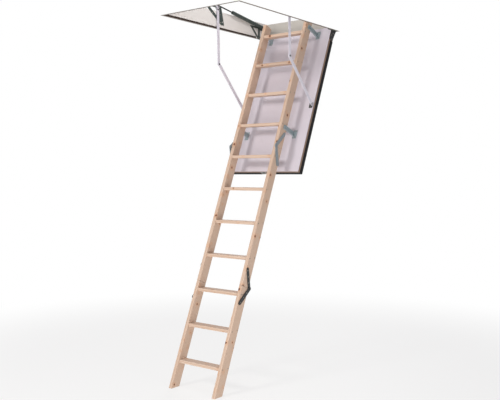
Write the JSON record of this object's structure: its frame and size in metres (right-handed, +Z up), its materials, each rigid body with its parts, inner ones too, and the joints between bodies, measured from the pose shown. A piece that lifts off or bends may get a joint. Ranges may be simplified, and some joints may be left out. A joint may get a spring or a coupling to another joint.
{
  "type": "folding attic ladder",
  "caption": "Folding wooden attic ladder on an insulated hatch door hung in a ceiling frame, with two-link arms, tension springs and fold hinges, shown open.",
  "frame": {"origin": "middle of the hatch opening, at the height of the ceiling (underside of the hatch frame)", "axes": "+Z up, +Y towards the hatch hinge, +X to the right of a person who faces the ladder"},
  "size_m": [0.7032, 1.319, 2.7285],
  "materials": {
    "pine": "planed, clear satin",
    "frame_board": "light grey melamine",
    "door_panel": "smooth white faced board",
    "door_rim": "dark stained",
    "insulation": "foam",
    "black_rubber": "matt",
    "brown_rubber": "matt",
    "green_steel": "dark green satin paint",
    "white_steel": "white satin paint",
    "black_steel": "black satin",
    "zinc_steel": "zinc plated",
    "screw_steel": "zinc plated",
    "spring_steel": "oiled"
  },
  "bodies": {
    "frame": {"arm_brackets": "green_steel", "frame_board_back": "frame_board", "frame_board_front": "frame_board", "frame_board_left": "frame_board", "frame_board_right": "frame_board", "frame_screws": "screw_steel", "frame_seal": "brown_rubber", "hatch_hinge_plates": "green_steel", "lock_striker": "zinc_steel", "pivot_pins": "black_steel"},
    "door": {"door_and_upper_screws": "screw_steel", "door_arm_brackets": "black_steel", "door_core": "insulation", "door_hinge_plates": "black_steel", "door_inner_panel": "door_panel", "door_outer_panel": "door_panel", "door_rim": "door_rim", "door_seal": "black_rubber", "fold_high_pins": "zinc_steel", "fold_high_upper_leaves": "zinc_steel", "ladder_brackets": "green_steel", "lock_case": "zinc_steel", "step_08": "pine", "step_09": "pine", "step_10": "pine", "step_11": "pine", "stile_upper_left": "pine", "stile_upper_right": "pine"},
    "middle_section": {"stile_middle_left": "pine", "stile_middle_right": "pine", "step_04": "pine", "step_05": "pine", "step_06": "pine", "step_07": "pine", "fold_high_lower_leaves": "zinc_steel", "fold_low_upper_leaves": "black_steel", "fold_low_pins": "black_steel", "middle_section_screws": "screw_steel"},
    "lower_section": {"stile_lower_left": "pine", "stile_lower_right": "pine", "step_01": "pine", "step_02": "pine", "step_03": "pine", "fold_low_lower_leaves": "black_steel", "lower_section_screws": "screw_steel"},
    "lock_bolt": {"lock_bolt": "zinc_steel"},
    "upper_arm_left": {"upper_arm_left": "white_steel", "elbow_rivet_left": "black_steel"},
    "lower_arm_left": {"lower_arm_left": "white_steel", "elbow_cap_left": "black_steel"},
    "spring_tube_left": {"spring_tube_left": "green_steel", "spring_coil_left": "spring_steel"},
    "spring_rod_left": {"spring_rod_left": "black_steel"},
    "upper_arm_right": {"upper_arm_right": "white_steel", "elbow_rivet_right": "black_steel"},
    "lower_arm_right": {"lower_arm_right": "white_steel", "elbow_cap_right": "black_steel"},
    "spring_tube_right": {"spring_tube_right": "green_steel", "spring_coil_right": "spring_steel"},
    "spring_rod_right": {"spring_rod_right": "black_steel"}
  },
  "joints": [
    {"name": "hatch", "type": "hinge", "parent": "frame", "child": "door", "pos_m": [0, 0.59, 0.003], "axis": [-1, 0, 0], "range_deg": [0, 55]},
    {"name": "upper_fold", "type": "hinge", "parent": "door", "child": "middle_section", "pos_m": [0, -0.02346, -0.88967], "axis": [-1, 0, 0], "range_deg": [0, 180]},
    {"name": "lower_fold", "type": "hinge", "parent": "middle_section", "child": "lower_section", "pos_m": [0, -0.33531, -1.87458], "axis": [1, 0, 0], "range_deg": [0, 180]},
    {"name": "bolt_slide", "type": "slide", "parent": "door", "child": "lock_bolt", "axis": [0, 0.3811, 0.9245], "range_m": [0, 0.012], "stiffness_N_per_m": 300},
    {"name": "left_upper_arm", "type": "hinge", "parent": "frame", "child": "upper_arm_left", "pos_m": [-0.3245, -0.033, 0.141], "axis": [-1, 0, 0], "range_deg": [0, 93.34]},
    {"name": "left_lower_arm", "type": "hinge", "parent": "door", "child": "lower_arm_left", "pos_m": [-0.3205, 0.26654, -0.57971], "axis": [1, 0, 0], "range_deg": [0, 72.38]},
    {"name": "left_spring_tilt", "type": "hinge", "parent": "frame", "child": "spring_tube_left", "pos_m": [-0.315, 0.572, 0.083], "axis": [1, 0, 0], "range_deg": [0, 2.5]},
    {"name": "left_spring_rod", "type": "slide", "parent": "spring_tube_left", "child": "spring_rod_left", "axis": [0, 0.9903, -0.1391], "range_m": [0, 0.03064]},
    {"name": "right_upper_arm", "type": "hinge", "parent": "frame", "child": "upper_arm_right", "pos_m": [0.3245, -0.033, 0.141], "axis": [-1, 0, 0], "range_deg": [0, 93.34]},
    {"name": "right_lower_arm", "type": "hinge", "parent": "door", "child": "lower_arm_right", "pos_m": [0.3205, 0.26654, -0.57971], "axis": [1, 0, 0], "range_deg": [0, 72.38]},
    {"name": "right_spring_tilt", "type": "hinge", "parent": "frame", "child": "spring_tube_right", "pos_m": [0.315, 0.572, 0.083], "axis": [1, 0, 0], "range_deg": [0, 2.5]},
    {"name": "right_spring_rod", "type": "slide", "parent": "spring_tube_right", "child": "spring_rod_right", "axis": [0, 0.9903, -0.1391], "range_m": [0, 0.03064]}
  ],
  "couplings": [
    {"joint": "left_upper_arm", "follows": "hatch", "ratio": 1.6879},
    {"joint": "left_lower_arm", "follows": "hatch", "ratio": 1.3069},
    {"joint": "left_spring_tilt", "follows": "hatch", "ratio": 0.043614},
    {"joint": "left_spring_rod", "follows": "hatch", "m_per_rad": 0.031396},
    {"joint": "right_upper_arm", "follows": "hatch", "ratio": 1.6879},
    {"joint": "right_lower_arm", "follows": "hatch", "ratio": 1.3069},
    {"joint": "right_spring_tilt", "follows": "hatch", "ratio": 0.043614},
    {"joint": "right_spring_rod", "follows": "hatch", "m_per_rad": 0.031396}
  ]
}
